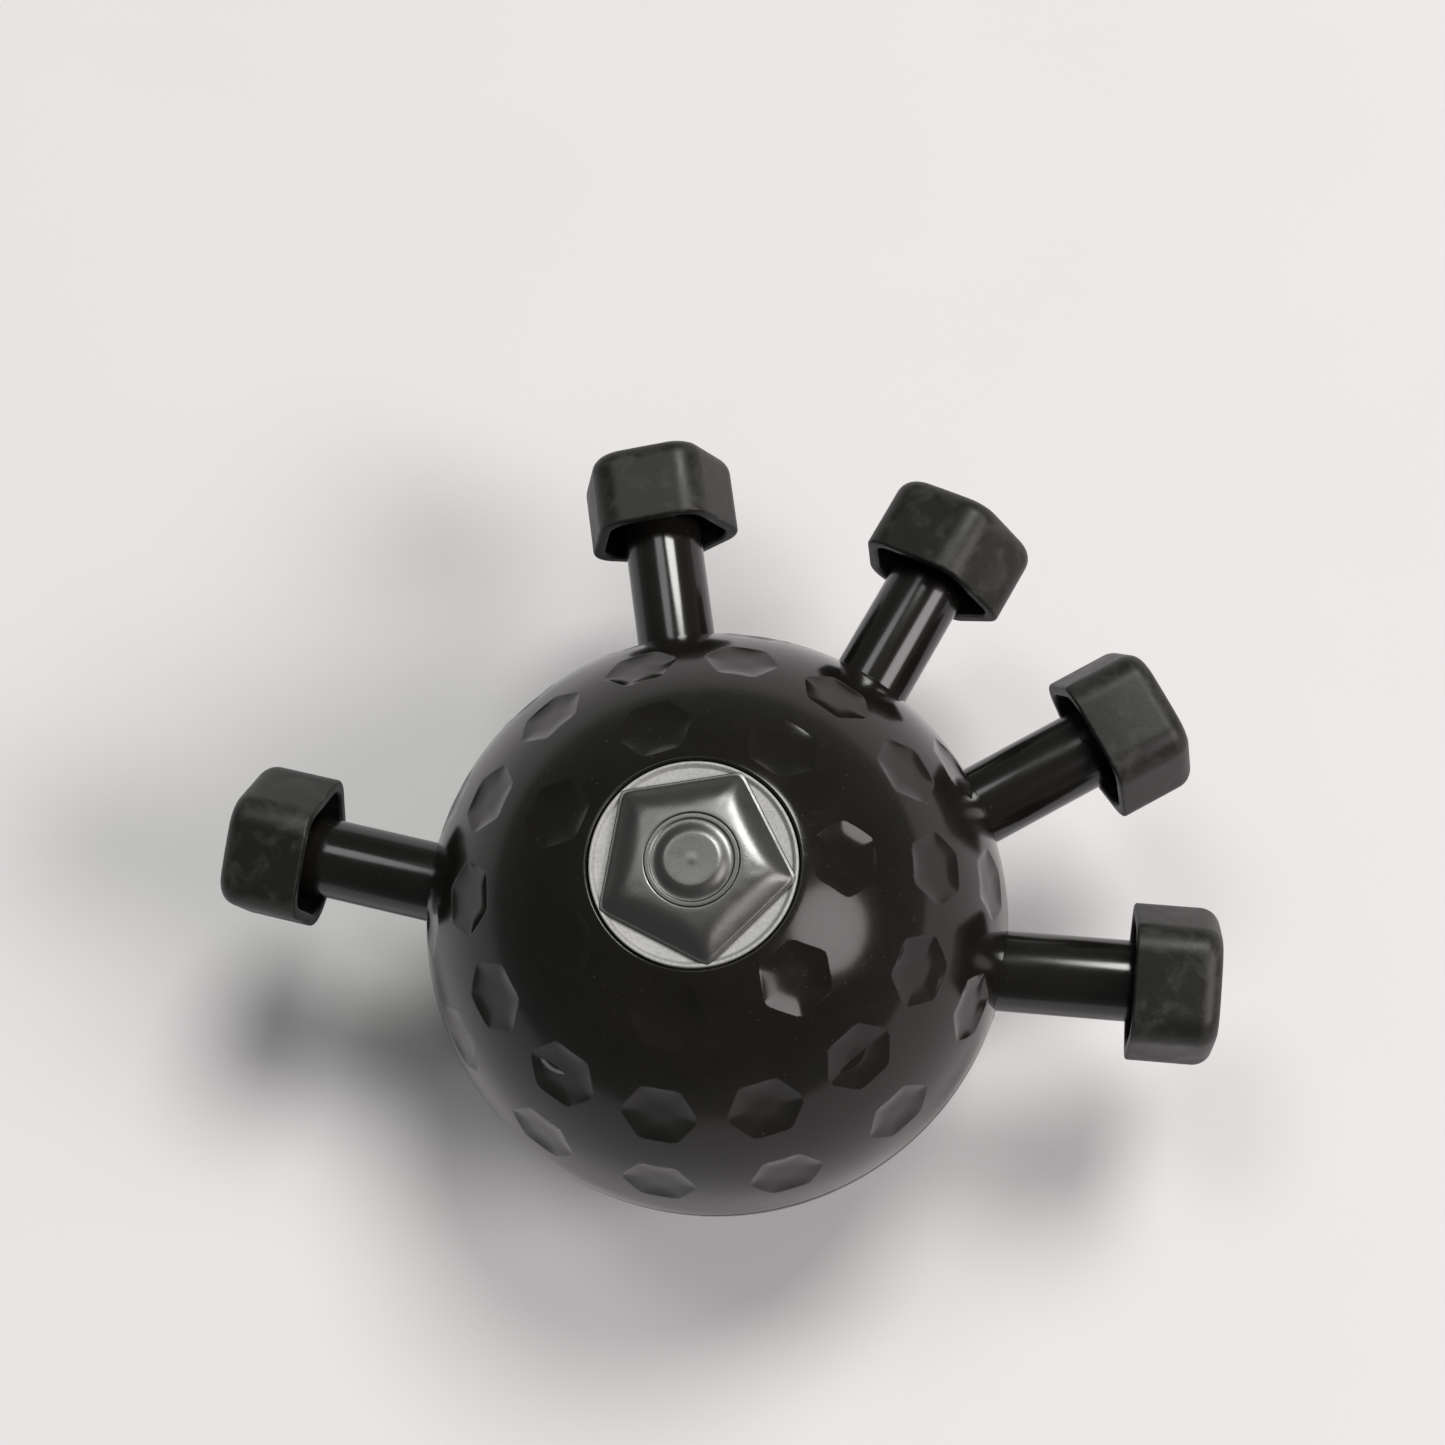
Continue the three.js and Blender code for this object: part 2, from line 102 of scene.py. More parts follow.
PIN_THREAD_R = 1.4
PIN_HEAD_R = 3.35
PIN_HEAD_HEIGHT = 1.6
PIN_SHOULDER = 5.3  # from the pin's threaded end
RING_BORE_R = 2.25
RING_R = 3.4

ball_low, ball_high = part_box("front_shell")
BALL_CENTRE = Vector((0, 0, ball_low.z + PEG_LENGTH * MM))


# ---------------------------------------------------------------- materials
class Finish:
    """A procedural material, built up on one Principled shader."""

    def __init__(self, name, colour, roughness, metallic=0.0, **plain):
        self.material = bpy.data.materials.new(name)
        self.material.use_nodes = True
        self.tree = self.material.node_tree
        self.shader = self.tree.nodes["Principled BSDF"]
        self.shader.inputs["Metallic"].default_value = metallic
        for socket, value in plain.items():
            self.shader.inputs[socket.replace("_", " ")].default_value = value
        self.colour = (*colour, 1)
        self.roughness = roughness
        self.place = self.add("ShaderNodeTexCoord").outputs["Object"]
        self.height = None

    def add(self, kind, **settings):
        node = self.tree.nodes.new(kind)
        for name, value in settings.items():
            setattr(node, name, value)
        return node

    def join(self, source, socket):
        """Links a node's output to a socket, or sets the socket to a plain number or colour."""
        if isinstance(source, (int, float, tuple)):
            socket.default_value = source
        else:
            self.tree.links.new(source, socket)

    def stretched(self, stretch):
        """Object coordinates scaled along X, Y and Z."""
        mapping = self.add("ShaderNodeMapping")
        self.join(self.place, mapping.inputs["Vector"])
        mapping.inputs["Scale"].default_value = stretch
        return mapping.outputs[0]

    def noise(self, size, detail=2.0, stretch=(1, 1, 1), rough=0.5, distortion=0.0):
        """Noise with features of about that size in millimetres."""
        node = self.add("ShaderNodeTexNoise")
        self.join(self.stretched(stretch), node.inputs["Vector"])
        node.inputs["Scale"].default_value = 1 / (size * MM)
        node.inputs["Detail"].default_value = detail
        node.inputs["Roughness"].default_value = rough
        node.inputs["Distortion"].default_value = distortion
        return node.outputs["Fac"]

    def ramp(self, value, low, high, start=0.0, end=1.0):
        """Value between low and high, as a number between start and end."""
        node = self.add("ShaderNodeMapRange", clamp=True)
        self.join(value, node.inputs["Value"])
        for name, number in (("From Min", low), ("From Max", high), ("To Min", start), ("To Max", end)):
            node.inputs[name].default_value = number
        return node.outputs[0]

    def combine(self, operation, a, b):
        node = self.add("ShaderNodeMath", operation=operation)
        self.join(a, node.inputs[0])
        self.join(b, node.inputs[1])
        return node.outputs[0]

    def tint(self, share, colour):
        """Moves the colour towards another by a share from a node."""
        mix = self.add("ShaderNodeMix", data_type="RGBA")
        self.join(share, mix.inputs["Factor"])
        self.join(self.colour, mix.inputs["A"])
        mix.inputs["B"].default_value = (*colour, 1)
        self.colour = mix.outputs["Result"]
        return self

    def roughen(self, value, low, high, start, end):
        """Adds from start to end to the roughness as a value goes from low to high."""
        self.roughness = self.combine("ADD", self.roughness, self.ramp(value, low, high, start, end))
        return self

    def raise_by(self, value, depth):
        """Adds a relief of that depth in millimetres."""
        relief = self.combine("MULTIPLY", value, depth)
        self.height = relief if self.height is None else self.combine("ADD", self.height, relief)
        return self

    def edges(self):
        """Where the surface is convex, as on a worn edge."""
        return self.add("ShaderNodeNewGeometry").outputs["Pointiness"]

    def done(self):
        self.join(self.colour, self.shader.inputs["Base Color"])
        self.join(self.roughness, self.shader.inputs["Roughness"])
        if self.height is not None:
            bump = self.add("ShaderNodeBump")
            bump.inputs["Distance"].default_value = MM
            bump.inputs["Strength"].default_value = 1.0
            self.join(self.height, bump.inputs["Height"])
            self.join(bump.outputs[0], self.shader.inputs["Normal"])
        return self.material


def gloss_black(name, roughness, specular, scratch_stretch):
    """Polished moulded plastic: faint flow marks, hand smudges, hairline scratches and a little dust."""
    finish = Finish(name, (0.0055, 0.0053, 0.0046), roughness, Specular_IOR_Level=specular)
    smudge = finish.noise(14, detail=4, rough=0.6, distortion=0.6)
    hairline = finish.noise(1.1, detail=3, stretch=scratch_stretch, rough=0.7)
    dust = finish.noise(0.5, detail=1)
    finish.roughen(smudge, 0.42, 0.72, 0.0, 0.09)
    finish.roughen(hairline, 0.6, 0.75, 0.0, 0.1)
    finish.tint(finish.ramp(smudge, 0.35, 0.75, 0.0, 0.5), (0.011, 0.0105, 0.009))
    finish.tint(finish.ramp(dust, 0.74, 0.8, 0.0, 0.25), (0.08, 0.08, 0.075))
    finish.raise_by(finish.noise(9, detail=1), 0.012)
    finish.raise_by(hairline, 0.0006)
    return finish.done()


def satin_black():
    """Finely spark-eroded cap plastic, scuffed paler in patches and along its edges."""
    finish = Finish("cap_black", (0.0085, 0.0087, 0.0077), 0.42, Specular_IOR_Level=0.26)
    grain = finish.noise(0.28, detail=2)
    scuff = finish.noise(3.2, detail=5, rough=0.65, distortion=0.8)
    finish.tint(finish.ramp(scuff, 0.48, 0.68, 0.0, 0.6), (0.034, 0.035, 0.031))
    finish.tint(finish.ramp(finish.edges(), 0.515, 0.56, 0.0, 0.5), (0.05, 0.05, 0.046))
    finish.roughen(scuff, 0.4, 0.75, -0.04, 0.12)
    finish.raise_by(grain, 0.01)
    finish.raise_by(scuff, 0.012)
    return finish.done()


def hub_grey():
    """Pale matte plate with a fine sandy grain."""
    finish = Finish("hub_grey", (0.30, 0.305, 0.295), 0.5, metallic=0.15)
    grain = finish.noise(0.32, detail=3, rough=0.7)
    finish.tint(finish.ramp(grain, 0.35, 0.7), (0.21, 0.215, 0.205))
    finish.tint(finish.ramp(finish.noise(4, detail=3), 0.4, 0.75, 0.0, 0.4), (0.36, 0.365, 0.355))
    finish.raise_by(grain, 0.03)
    return finish.done()


def satin_grey(name):
    """Satin metallic paint with paler fine flakes, faint darker clouds and rougher patches."""
    finish = Finish(name, (0.103, 0.104, 0.101), 0.27, metallic=0.85)
    flake = finish.noise(0.16, detail=2)
    cloud = finish.noise(3.5, detail=4, rough=0.6)
    finish.tint(finish.ramp(flake, 0.5, 0.75, 0.0, 0.4), (0.17, 0.17, 0.165))
    finish.tint(finish.ramp(cloud, 0.45, 0.75, 0.0, 0.35), (0.07, 0.071, 0.069))
    finish.roughen(cloud, 0.35, 0.75, 0.0, 0.12)
    finish.raise_by(finish.noise(1.6, detail=4, rough=0.65), 0.016)
    finish.raise_by(flake, 0.003)
    return finish.done()


def pad_grey():
    """Soft rubber with a fine grain."""
    finish = Finish("pad_grey", (0.20, 0.205, 0.2), 0.72, Specular_IOR_Level=0.35)
    grain = finish.noise(0.4, detail=3)
    finish.tint(finish.ramp(grain, 0.4, 0.7), (0.15, 0.155, 0.15))
    finish.tint(finish.ramp(finish.noise(6, detail=4), 0.45, 0.75, 0.0, 0.5), (0.26, 0.262, 0.255))
    finish.raise_by(grain, 0.03)
    return finish.done()


def moulded_nylon():
    finish = Finish("nylon", (0.62, 0.60, 0.52), 0.45, Subsurface_Weight=0.05)
    cloud = finish.noise(5, detail=3)
    finish.tint(finish.ramp(cloud, 0.35, 0.75), (0.55, 0.53, 0.45))
    finish.roughen(cloud, 0.3, 0.8, 0.0, 0.12)
    finish.raise_by(finish.noise(0.5, detail=2), 0.01)
    return finish.done()


def drawn_metal(name, colour, worn, roughness):
    """Drawn or turned metal with fine lines round it."""
    finish = Finish(name, colour, roughness, metallic=1.0)
    lines = finish.noise(0.9, detail=3, stretch=(1, 1, 9), rough=0.7)
    finish.tint(finish.ramp(finish.noise(2.5, detail=4), 0.4, 0.75), worn)
    finish.roughen(lines, 0.3, 0.75, 0.0, 0.15)
    finish.raise_by(lines, 0.004)
    return finish.done()


FINISHES = {
    "shell_black": gloss_black("shell_black", 0.12, 0.32, (0.25, 1.6, 1.6)),
    "stem_black": gloss_black("stem_black", 0.15, 0.5, (2.2, 2.2, 0.12)),
    "cap_black": satin_black(),
    "hub_grey": hub_grey(),
    "pentagon_grey": satin_grey("pentagon_grey"),
    "pad_grey": pad_grey(),
    "nylon": moulded_nylon(),
    "steel": drawn_metal("steel", (0.55, 0.56, 0.58), (0.38, 0.38, 0.39), 0.25),
    "brass": drawn_metal("brass", (0.62, 0.42, 0.16), (0.45, 0.3, 0.12), 0.28),
}


# ---------------------------------------------------------------- mesh tools
class Solid:
    """Points in millimetres and faces, gathered piece by piece."""

    def __init__(self):
        self.points = []
        self.faces = []
        self.normals = {}  # face number to its corners' own normals

    def add_points(self, points):
        first = len(self.points)
        self.points.extend(tuple(p) for p in points)
        return list(range(first, len(self.points)))

    def strip(self, one, other):
        """Joins two closed loops of as many points; either may be a single point."""
        count = max(len(one), len(other))
        for i in range(count):
            j = (i + 1) % count
            if len(other) == 1:
                self.faces.append((one[i], one[j], other[0]))
            elif len(one) == 1:
                self.faces.append((one[0], other[j], other[i]))
            else:
                self.faces.append((one[i], one[j], other[j], other[i]))

    def lathe(self, outline, segments, close=False, start=None, end=None):
        """Turns an outline of (radius, height) about Z. Start and end are loops that it joins up with."""
        angles = [2 * math.pi * i / segments for i in range(segments)]
        loops = [] if start is None else [start]
        for radius, height in outline:
            ring = [(radius * math.cos(a), radius * math.sin(a), height) for a in angles]
            loops.append(self.add_points(ring if radius > 1e-9 else ring[:1]))
        if end is not None:
            loops.append(end)
        for one, other in zip(loops, loops[1:]):
            self.strip(one, other)
        if close:
            self.strip(loops[-1], loops[0])
        return loops

    def face_outward(self):
        """Turns every face round if the closed surface encloses less than nothing."""
        points = np.array(self.points)
        fans = [(face[0], *pair) for face in self.faces for pair in zip(face[1:], face[2:])]
        corners = points[np.array(fans)]
        volume = (corners[:, 0] * np.cross(corners[:, 1], corners[:, 2])).sum()
        if volume < 0:
            self.faces = [tuple(reversed(face)) for face in self.faces]

    def absorb(self, other):
        """Takes in another closed solid as a lump of its own."""
        other.face_outward()
        numbers = self.add_points(other.points)
        self.faces += [tuple(numbers[i] for i in face) for face in other.faces]


def filleted(corners, steps=6):
    """Closed outline of (x, y, fillet radius) corners, with an arc at each corner that has a fillet."""
    outline = []
    for i, (x, y, fillet) in enumerate(corners):
        here = Vector((x, y))
        if not fillet:
            outline.append(here)
            continue
        before = (Vector(corners[i - 1][:2]) - here).normalized()
        after = (Vector(corners[(i + 1) % len(corners)][:2]) - here).normalized()
        half = before.angle(after) / 2
        centre = here + (before + after).normalized() * (fillet / math.sin(half))
        start = here + before * (fillet / math.tan(half)) - centre
        end = here + after * (fillet / math.tan(half)) - centre
        first = math.atan2(start.y, start.x)
        sweep = (math.atan2(end.y, end.x) - first + math.pi) % (2 * math.pi) - math.pi
        for step in range(steps + 1):
            angle = first + sweep * step / steps
            outline.append(centre + fillet * Vector((math.cos(angle), math.sin(angle))))
    return outline


def make_piece(name, solid, slot, body, replaced, matrix, sharp=38):
    """Turns a solid into an object that rides on a body and stands for a CAD node."""
    mesh = bpy.data.meshes.new(name)
    solid.face_outward()
    points = np.array(solid.points) * MM
    mesh.from_pydata(points.tolist(), [], solid.faces)
    mesh.shade_smooth()
    mesh.set_sharp_from_angle(angle=math.radians(sharp))
    if solid.normals:
        own = np.empty(3 * len(mesh.loops))
        mesh.corner_normals.foreach_get("vector", own)
        own = own.reshape(-1, 3)
        for number, corners in solid.normals.items():
            for loop in mesh.polygons[number].loop_indices:
                own[loop] = corners[mesh.loops[loop].vertex_index]
        custom = mesh.attributes.new("custom_normal", "FLOAT_VECTOR", "CORNER")
        custom.data.foreach_set("vector", own.ravel())
    mesh.materials.append(FINISHES[slot])
    piece = bpy.data.objects.new(name, mesh)
    bpy.context.scene.collection.objects.link(piece)
    piece.matrix_world = matrix
    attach(piece, body)
    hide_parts(replaced)
    return piece


# ---------------------------------------------------------------- plungers, as the frame has them
class Plunger:
    """One finger's axis, from the joint that presses it, and where its CAD nodes lie along it."""

    def __init__(self, joint):
        self.name = joint["name"].removesuffix("_press")
        self.joint = joint["name"]
        self.body = joint["child"]
        self.axis = Vector(joint["axis"]).normalized()
        self.azimuth = math.atan2(self.axis.y, self.axis.x)
        self.travel = max(abs(limit) for limit in joint["range_m"])
        self.fan = BALL_CENTRE + Vector((0, -FAN_OFFSET * MM, 0))

    def span(self, node):
        """From where to where a node reaches along the axis, in metres from the fan's centre."""
        reach = [(v.co - self.fan).dot(self.axis) for v in frame["nodes"][node].data.vertices]
        return min(reach), max(reach)

    def matrix(self, distance):
        """A frame with X along the axis, whose origin is that far from the fan's centre."""
        side = UP.cross(self.axis)
        turn = Matrix((self.axis, side, UP)).transposed().to_4x4()
        return Matrix.Translation(self.fan + self.axis * distance) @ turn


PLUNGERS = [Plunger(joint) for joint in frame["joints"]]
ALONG_X = Matrix.Rotation(math.pi / 2, 4, "Y")  # takes a shape turned about Z to one along X


# ---------------------------------------------------------------- ball: dimples
DIMPLE_RINGS = ((28.5, 7), (49.5, 14), (70.0, 14))  # polar angle in degrees and how many
FIRST_DIMPLE = 2.8  # azimuth of the first one of each ring
DIMPLE_APOTHEM = 3.6
DIMPLE_DEPTH = 0.5
DIMPLE_LIP = 0.07  # how much of its depth the softened lip takes
DIMPLE_POWER = 3  # the higher, the flatter its middle and the steeper its wall
CORNER_POWER = 22  # the higher, the sharper a polygon's corners


def polygon_reach(across, along, sides, first, power):
    """How far points lie out from a polygon's centre towards its sides, with softened corners."""
    total = np.zeros_like(across)
    for side in range(sides):
        angle = first + 2 * math.pi * side / sides
        out = across * math.cos(angle) + along * math.sin(angle)
        total += np.maximum(out, 0) ** power
    return total ** (1 / power)


def dimple_frames():
    """Each dimple's centre direction, the direction away from the pole and the one round it."""
    frames = []
    for polar, count in DIMPLE_RINGS:
        theta = math.radians(polar)
        for i in range(count):
            phi = math.radians(FIRST_DIMPLE + 360 * i / count)
            centre = (math.sin(theta) * math.cos(phi), math.sin(theta) * math.sin(phi), math.cos(theta))
            away = (math.cos(theta) * math.cos(phi), math.cos(theta) * math.sin(phi), -math.sin(theta))
            frames.append(np.array((centre, away, (-math.sin(phi), math.cos(phi), 0))))
    return frames


DIMPLES = dimple_frames()


def bowl_share(across, along):
    """Depth of a dimple as a share of its middle's: a crisp hexagonal lip round a smooth round bowl."""
    hexagonal = polygon_reach(across, along, 6, 0, CORNER_POWER) / DIMPLE_APOTHEM
    circular = np.hypot(across, along) / DIMPLE_APOTHEM
    near_lip = np.clip(hexagonal, 0, 1) ** 2
    share = 1 - (hexagonal * near_lip + circular * (1 - near_lip)) ** DIMPLE_POWER
    softened = (share + DIMPLE_LIP) ** 2 / (4 * DIMPLE_LIP)
    return np.where(share > DIMPLE_LIP, share, np.where(share < -DIMPLE_LIP, 0, softened))


def surface_radius(directions):
    """Distance from the ball's centre to its dimpled skin, in each direction."""
    radius = np.full(len(directions), BALL_R)
    for centre, away, around in DIMPLES:
        facing = directions @ centre
        near = facing > math.cos(0.2)
        if not near.any():
            continue
        across = directions[near] @ away / facing[near] * BALL_R
        along = directions[near] @ around / facing[near] * BALL_R
        radius[near] -= DIMPLE_DEPTH * bowl_share(across, along)
    return radius


def skin_normals(directions, step=0.03 / BALL_R):
    """Normals of the dimpled skin, from its slope in each direction."""
    helper = np.where(np.abs(directions[:, 2:3]) < 0.9, (0.0, 0.0, 1.0), (1.0, 0.0, 0.0))
    east = np.cross(helper, directions)
    east /= np.linalg.norm(east, axis=1, keepdims=True)
    north = np.cross(directions, east)
    slope = []
    for tangent in (east, north):
        ahead = directions + step * tangent
        behind = directions - step * tangent
        ahead /= np.linalg.norm(ahead, axis=1, keepdims=True)
        behind /= np.linalg.norm(behind, axis=1, keepdims=True)
        slope.append((surface_radius(ahead) - surface_radius(behind)) / (2 * step))
    radius = surface_radius(directions)
    normal = directions - (east * slope[0][:, None] + north * slope[1][:, None]) / radius[:, None]
    return normal / np.linalg.norm(normal, axis=1, keepdims=True)


# ---------------------------------------------------------------- ball: half shells
POLE_SEGMENTS = 144
HOLE_STEPS = 30
RIM_FILLET = 0.4
SKIN_RING_R = HUB_R + 0.9  # where the skin meets the turned rim of the pole recess


def to_chart(points):
    """Flattens points about the front pole: polar angle becomes distance."""
    points = np.asarray(points, float)
    length = np.linalg.norm(points, axis=1)
    polar = np.arccos(np.clip(points[:, 2] / length, -1, 1))
    azimuth = np.arctan2(points[:, 1], points[:, 0])
    return BALL_R * polar[:, None] * np.stack((np.cos(azimuth), np.sin(azimuth)), 1)


def from_chart(flat):
    """Directions of flattened points."""
    polar = np.linalg.norm(flat, axis=1) / BALL_R
    azimuth = np.arctan2(flat[:, 1], flat[:, 0])
    sine = np.sin(polar)
    return np.stack((sine * np.cos(azimuth), sine * np.sin(azimuth), np.cos(polar)), 1)


def rim_points(radius):
    """The open rim of a half shell on a sphere of that radius: (point, way off the skin, way into the wall)."""
    azimuths = sorted(p.azimuth % (2 * math.pi) for p in PLUNGERS)
    fan = Vector((0, -FAN_OFFSET, 0))
    lowest = math.asin(PARTING / GUIDE_BORE_R)
    rim = []
    for i, azimuth in enumerate(azimuths):
        axis = Vector((math.cos(azimuth), math.sin(azimuth), 0))
        side = UP.cross(axis)
        for step in range(HOLE_STEPS + 1):
            angle = math.pi - lowest + (2 * lowest - math.pi) * step / HOLE_STEPS
            out = side * math.cos(angle) + UP * math.sin(angle)
            start = fan + out * GUIDE_BORE_R
            along = -start.dot(axis)
            reach = along + math.sqrt(along**2 - start.length_squared + radius**2)
            point = start + axis * reach
            if step in (0, HOLE_STEPS):
                rim.append((point, -out - UP, -(axis + point.normalized()).normalized()))
            else:
                rim.append((point, -out, -axis))
        following = azimuths[(i + 1) % len(azimuths)]
        gap = (following - azimuth) % (2 * math.pi)
        steps = max(4, round(math.degrees(gap) / 2))
        end_side = math.atan2(rim[-1][0].y, rim[-1][0].x)
        next_axis = Vector((math.cos(following), math.sin(following), 0))
        next_out = UP.cross(next_axis) * -math.cos(lowest) + UP * math.sin(lowest)
        next_start = fan + next_out * GUIDE_BORE_R
        back = -next_start.dot(next_axis)
        reach = back + math.sqrt(back**2 - next_start.length_squared + radius**2)
        next_point = next_start + next_axis * reach
        sweep = (math.atan2(next_point.y, next_point.x) - end_side) % (2 * math.pi)
        level = math.sqrt(radius**2 - PARTING**2)
        for step in range(1, steps):
            turn = end_side + sweep * step / steps
            outward = Vector((math.cos(turn), math.sin(turn), 0))
            rim.append((outward * level + UP * PARTING, -UP, -outward))
    return rim


def lattice(spacing, limit):
    """Evenly spread points of the flattened hemisphere, in staggered rings about the pole."""
    flat = []
    rings = int(limit / spacing)
    for ring in range(1, rings + 1):
        distance = limit * ring / (rings + 0.5)
        count = max(6, round(2 * math.pi * BALL_R * math.sin(distance / BALL_R) / spacing))
        for i in range(count):
            angle = 2 * math.pi * (i + 0.5 * (ring % 2)) / count
            flat.append((distance * math.cos(angle), distance * math.sin(angle)))
    return np.array(flat)


def dimple_lattice():
    """Fine rings of points in each dimple, along its lip, wall and foot."""
    points = []
    insets = [-0.35, -0.16, -0.09, -0.03, 0.03, 0.09, 0.2, 0.45, 0.8, 1.25, 1.7, 2.2, 2.75]
    angles = np.radians(np.arange(0, 360, 7.5))
    for centre, away, around in DIMPLES:
        for inset in insets:
            reach = polygon_reach(np.cos(angles), np.sin(angles), 6, 0, CORNER_POWER)
            distance = (DIMPLE_APOTHEM - inset) / reach
            keep = slice(None, None, 2 if inset > 1.8 else 1)
            u, v = (distance * np.cos(angles))[keep], (distance * np.sin(angles))[keep]
            spot = centre + np.outer(u / BALL_R, away) + np.outer(v / BALL_R, around)
            points.append(spot / np.linalg.norm(spot, axis=1, keepdims=True))
        points.append(centre[None])
    return np.concatenate(points)


def in_dimple(directions, margin):
    """Which directions lie in a dimple or within a margin of its edge."""
    found = np.zeros(len(directions), bool)
    for centre, away, around in DIMPLES:
        facing = directions @ centre
        near = facing > math.cos(0.25)
        across = directions[near] @ away / facing[near] * BALL_R
        along = directions[near] @ around / facing[near] * BALL_R
        found[near] |= polygon_reach(across, along, 6, 0, CORNER_POWER) < DIMPLE_APOTHEM + margin
    return found


def in_outline(flat, outline, margin):
    """Which flattened points lie inside a closed outline and at least a margin away from it."""
    a, b = outline, np.roll(outline, -1, axis=0)
    x, y = flat[:, :1], flat[:, 1:]
    crosses = (a[:, 1] > y) != (b[:, 1] > y)
    rise = np.where(b[:, 1] == a[:, 1], 1, b[:, 1] - a[:, 1])
    left = x < (b[:, 0] - a[:, 0]) * (y - a[:, 1]) / rise + a[:, 0]
    inside = (crosses & left).sum(1) % 2 == 1
    edge = b - a
    share = ((flat[:, None] - a) * edge).sum(2) / (edge**2).sum(1)
    nearest = a + np.clip(share, 0, 1)[..., None] * edge
    clear = np.linalg.norm(flat[:, None] - nearest, axis=2).min(1) > margin
    return inside & clear


def triangulate(solid, rim, pole_ring, flat, radius_of, normals_of=None):
    """Fills the skin between a rim loop and a pole ring, with free points between them."""
    loops = rim + pole_ring
    outline = to_chart([solid.points[i] for i in loops])
    kept = flat[in_outline(flat, outline[: len(rim)], 0.3 * radius_of.spacing)]
    ring = np.linalg.norm(outline[len(rim):], axis=1).max()
    kept = kept[np.linalg.norm(kept, axis=1) > ring + 0.3 * radius_of.spacing]
    places = np.concatenate((outline, kept))
    edges = [(i, (i + 1) % len(rim)) for i in range(len(rim))]
    edges += [(len(rim) + i, len(rim) + (i + 1) % len(pole_ring)) for i in range(len(pole_ring))]
    out, _, faces, origin, _, _ = delaunay_2d_cdt([Vector(p) for p in places], edges, [], 1, 1e-6)
    directions = from_chart(np.array([tuple(p) for p in out]))
    skin = directions * radius_of(directions)[:, None]
    numbers = []
    for i, sources in enumerate(origin):
        old = [s for s in sources if s < len(loops)]
        numbers.append(loops[old[0]] if old else None)
    fresh = [i for i, number in enumerate(numbers) if number is None]
    for i, number in zip(fresh, solid.add_points(skin[fresh])):
        numbers[i] = number
    normals = None if normals_of is None else normals_of(directions)
    for face in faces:
        middle = np.mean([tuple(out[i]) for i in face], axis=0)
        if np.linalg.norm(middle) < ring * math.cos(math.pi / len(pole_ring)) - 1e-6:
            continue
        corners = tuple(numbers[i] for i in face)
        if normals is not None:
            solid.normals[len(solid.faces)] = {numbers[i]: normals[i] for i in face}
        solid.faces.append(corners)


class Skin:
    """Radius of a skin in each direction, and the spacing of its free points."""

    def __init__(self, radius, spacing):
        self.radius = radius
        self.spacing = spacing

    def __call__(self, directions):
        return self.radius(directions)


def half_tube(plunger, inner, outer, bore, thick):
    """Half of a stem's guide, moulded on the inside of a shell."""
    solid = Solid()
    lower = math.asin(PARTING / bore)
    upper = math.asin(PARTING / thick)
    steps = 24
    section = []
    for radius, first in ((bore, lower), (thick, upper)):
        arc = [first + (math.pi - 2 * first) * i / steps for i in range(steps + 1)]
        if radius == thick:
            arc.reverse()
        section += [(radius * math.cos(a), radius * math.sin(a)) for a in arc]
    side = UP.cross(plunger.axis)
    fan = Vector((0, -FAN_OFFSET, 0))
    loops = []
    for distance in (inner, outer):
        points = [fan + plunger.axis * distance + side * x + UP * z for x, z in section]
        loops.append(solid.add_points(points))
    solid.strip(loops[0], loops[1])
    for loop, is_far in ((loops[0], False), (loops[1], True)):
        for i in range(steps):
            quad = (loop[i], loop[i + 1], loop[-i - 2], loop[-i - 1])
            solid.faces.append(quad if is_far else tuple(reversed(quad)))
    return solid


